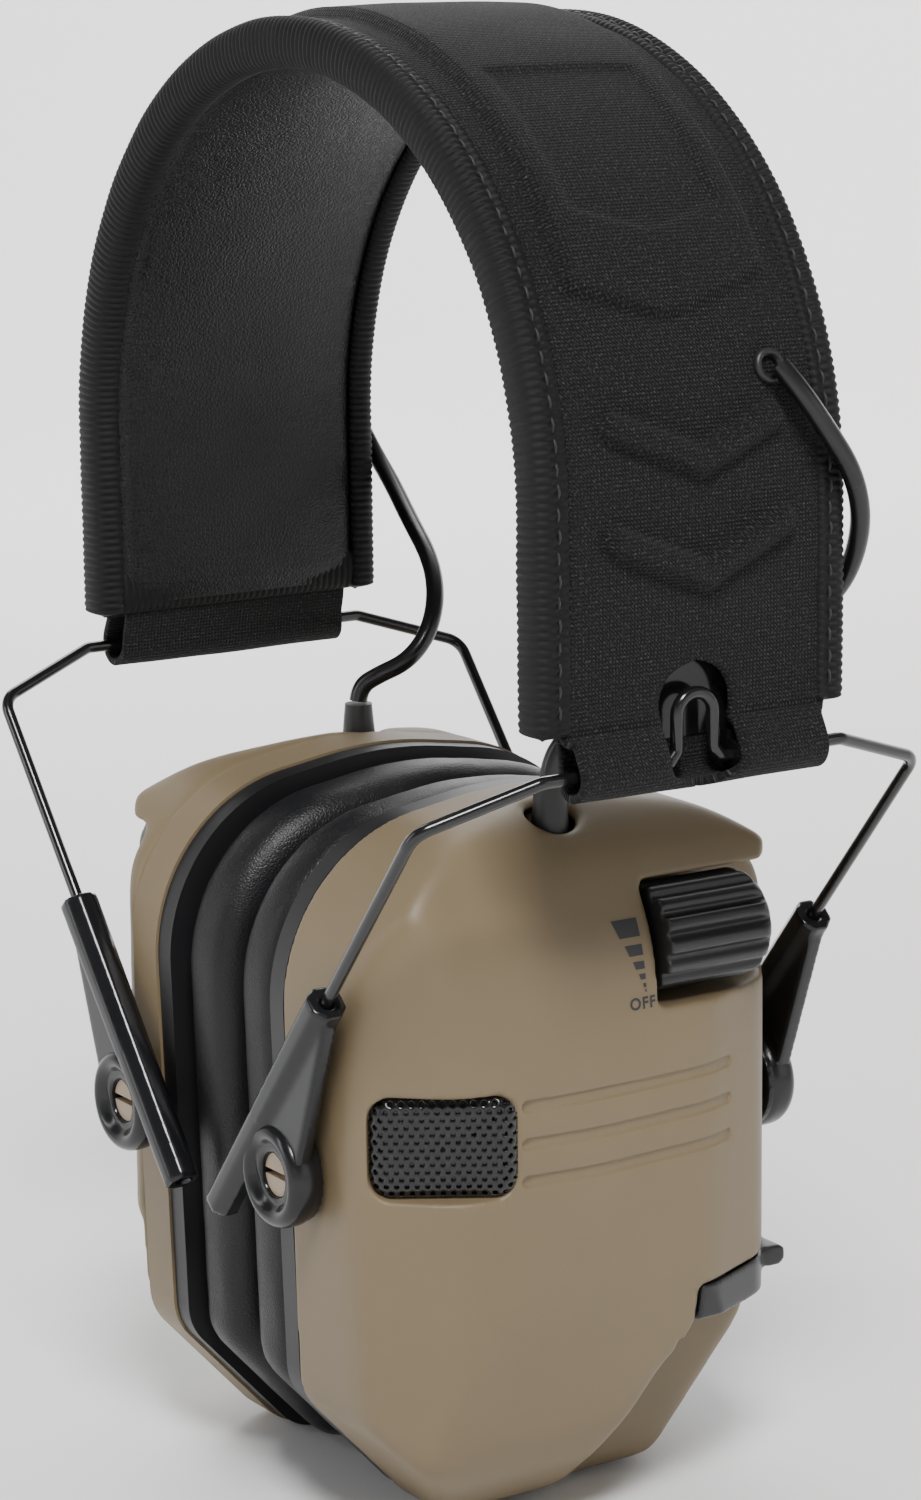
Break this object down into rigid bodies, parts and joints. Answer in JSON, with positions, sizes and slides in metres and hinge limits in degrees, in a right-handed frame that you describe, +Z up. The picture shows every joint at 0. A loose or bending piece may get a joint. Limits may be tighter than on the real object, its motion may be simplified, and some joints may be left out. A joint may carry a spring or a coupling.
{
  "type": "earmuff hearing protector",
  "caption": "Padded headband earmuffs with wire yokes, height sliders, tilting hard cups, soft ear cushions, volume knobs, sound grilles and a hinged battery door.",
  "frame": {"origin": "midway between the two cups, at the height of the cup pivots, in the band's middle plane", "axes": "+X from the left cup to the right cup, which holds the battery door; +Y towards the edge of the band where the cables leave it; +Z up towards the crown of the band"},
  "size_m": [0.1346, 0.089, 0.2127],
  "materials": {
    "band_knit": "fine black knit",
    "sleeve_knit": "fine black knit",
    "band_lining": "black leatherette",
    "band_binding": "ribbed black tape",
    "end_binding": "ribbed black tape",
    "spring_steel": "blued spring steel",
    "cable_jacket": "smooth black",
    "end_plate_plastic": "gloss",
    "grommet_rubber": "satin",
    "coated_wire": "gloss black",
    "slider_plastic": "gloss dark grey",
    "shell_plastic": "soft-touch matte",
    "base_plastic": "soft-touch matte",
    "plate_plastic": "matte",
    "cushion_skin": "soft leatherette",
    "acoustic_foam": "open-cell foam",
    "speaker_plastic": "moulded",
    "board_laminate": "solder mask",
    "control_metal": "stamped can",
    "grille_metal": "black mesh",
    "microphone_metal": "small can",
    "knob_plastic": "satin",
    "pin_plastic": "matte",
    "screw_steel": "zinc plated",
    "cell_jacket": "plain wrapped cells",
    "contact_nickel": "nickel plated",
    "door_plastic": "satin"
  },
  "bodies": {
    "crown": {"outer_cover_crown": "band_knit", "inner_pad_crown": "band_lining", "edge_binding_crown": "band_binding", "spring_band": "spring_steel", "band_cable": "cable_jacket"},
    "arm_right": {"outer_cover_right": "band_knit", "inner_pad_right": "band_lining", "edge_binding_right": "band_binding", "end_binding_right": "end_binding", "end_plate_right": "end_plate_plastic", "end_sleeve_right": "sleeve_knit", "cable_grommet_right": "grommet_rubber", "cup_cable_right": "cable_jacket"},
    "yoke_right": {"yoke_wire_right": "coated_wire"},
    "slider_front_right": {"slider_front_right": "slider_plastic"},
    "slider_rear_right": {"slider_rear_right": "slider_plastic"},
    "cup_right": {"outer_cap_right": "shell_plastic", "base_shell_right": "base_plastic", "cushion_plate_right": "plate_plastic", "ear_cushion_right": "cushion_skin", "sound_foam_right": "acoustic_foam", "speaker_right": "speaker_plastic", "circuit_board_right": "board_laminate", "volume_control_right": "control_metal", "microphone_grille_right": "grille_metal", "microphone_right": "microphone_metal", "pivot_pins_right": "pin_plastic", "baffle_screws_right": "screw_steel", "cable_gland_right": "grommet_rubber", "battery_cells": "cell_jacket", "battery_contacts": "contact_nickel"},
    "knob_right": {"volume_knob_right": "knob_plastic"},
    "arm_left": {"outer_cover_left": "band_knit", "inner_pad_left": "band_lining", "edge_binding_left": "band_binding", "end_binding_left": "end_binding", "end_plate_left": "end_plate_plastic", "end_sleeve_left": "sleeve_knit", "cable_grommet_left": "grommet_rubber", "cup_cable_left": "cable_jacket"},
    "yoke_left": {"yoke_wire_left": "coated_wire"},
    "slider_front_left": {"slider_front_left": "slider_plastic"},
    "slider_rear_left": {"slider_rear_left": "slider_plastic"},
    "cup_left": {"outer_cap_left": "shell_plastic", "base_shell_left": "base_plastic", "cushion_plate_left": "plate_plastic", "ear_cushion_left": "cushion_skin", "sound_foam_left": "acoustic_foam", "speaker_left": "speaker_plastic", "circuit_board_left": "board_laminate", "volume_control_left": "control_metal", "microphone_grille_left": "grille_metal", "microphone_left": "microphone_metal", "pivot_pins_left": "pin_plastic", "baffle_screws_left": "screw_steel", "cable_gland_left": "grommet_rubber"},
    "knob_left": {"volume_knob_left": "knob_plastic"},
    "battery_door": {"battery_door": "door_plastic"}
  },
  "joints": [
    {"name": "arm_flex_right", "type": "hinge", "parent": "crown", "child": "arm_right", "pos_m": [0.03625, 0, 0.14627], "axis": [0, -1, 0], "range_deg": [0, 26], "stiffness_Nm_per_rad": 3.5, "deforming": ["spring_band", "band_cable"]},
    {"name": "yoke_fold_right", "type": "hinge", "parent": "arm_right", "child": "yoke_right", "pos_m": [0.0626, 0, 0.0605], "axis": [0, 1, 0], "range_deg": [-9, 3], "deforming": ["cup_cable_right"]},
    {"name": "cup_height_right", "type": "slide", "parent": "yoke_right", "child": "slider_front_right", "axis": [0.6347, 0, 0.7727], "range_m": [-0.015, 0.01]},
    {"name": "cup_height_rear_right", "type": "slide", "parent": "yoke_right", "child": "slider_rear_right", "axis": [0.6347, 0, 0.7727], "range_m": [-0.015, 0.01]},
    {"name": "cup_tilt_right", "type": "hinge", "parent": "slider_front_right", "child": "cup_right", "pos_m": [0.022, 0, 0], "axis": [0, 1, 0], "range_deg": [-10, 20], "deforming": ["ear_cushion_right"]},
    {"name": "volume_turn_right", "type": "hinge", "parent": "cup_right", "child": "knob_right", "pos_m": [0.0404, 0, 0.0304], "axis": [0, 1, 0], "range_deg": [0, 270]},
    {"name": "arm_flex_left", "type": "hinge", "parent": "crown", "child": "arm_left", "pos_m": [-0.03625, 0, 0.14627], "axis": [0, 1, 0], "range_deg": [0, 26], "stiffness_Nm_per_rad": 3.5, "deforming": ["spring_band"]},
    {"name": "yoke_fold_left", "type": "hinge", "parent": "arm_left", "child": "yoke_left", "pos_m": [-0.0626, 0, 0.0605], "axis": [0, -1, 0], "range_deg": [-9, 3], "deforming": ["cup_cable_left"]},
    {"name": "cup_height_left", "type": "slide", "parent": "yoke_left", "child": "slider_front_left", "axis": [-0.6347, 0, 0.7727], "range_m": [-0.015, 0.01]},
    {"name": "cup_height_rear_left", "type": "slide", "parent": "yoke_left", "child": "slider_rear_left", "axis": [-0.6347, 0, 0.7727], "range_m": [-0.015, 0.01]},
    {"name": "cup_tilt_left", "type": "hinge", "parent": "slider_front_left", "child": "cup_left", "pos_m": [-0.022, 0, 0], "axis": [0, -1, 0], "range_deg": [-10, 20], "deforming": ["ear_cushion_left"]},
    {"name": "volume_turn_left", "type": "hinge", "parent": "cup_left", "child": "knob_left", "pos_m": [-0.0404, 0, 0.0304], "axis": [0, -1, 0], "range_deg": [0, 270]},
    {"name": "door_swing", "type": "hinge", "parent": "cup_right", "child": "battery_door", "pos_m": [0.04, 0.0111, -0.0256], "axis": [-1, 0, 0], "range_deg": [0, 55]}
  ],
  "couplings": [
    {"joint": "cup_height_rear_right", "follows": "cup_height_right", "ratio": 1},
    {"joint": "cup_height_rear_left", "follows": "cup_height_left", "ratio": 1}
  ]
}
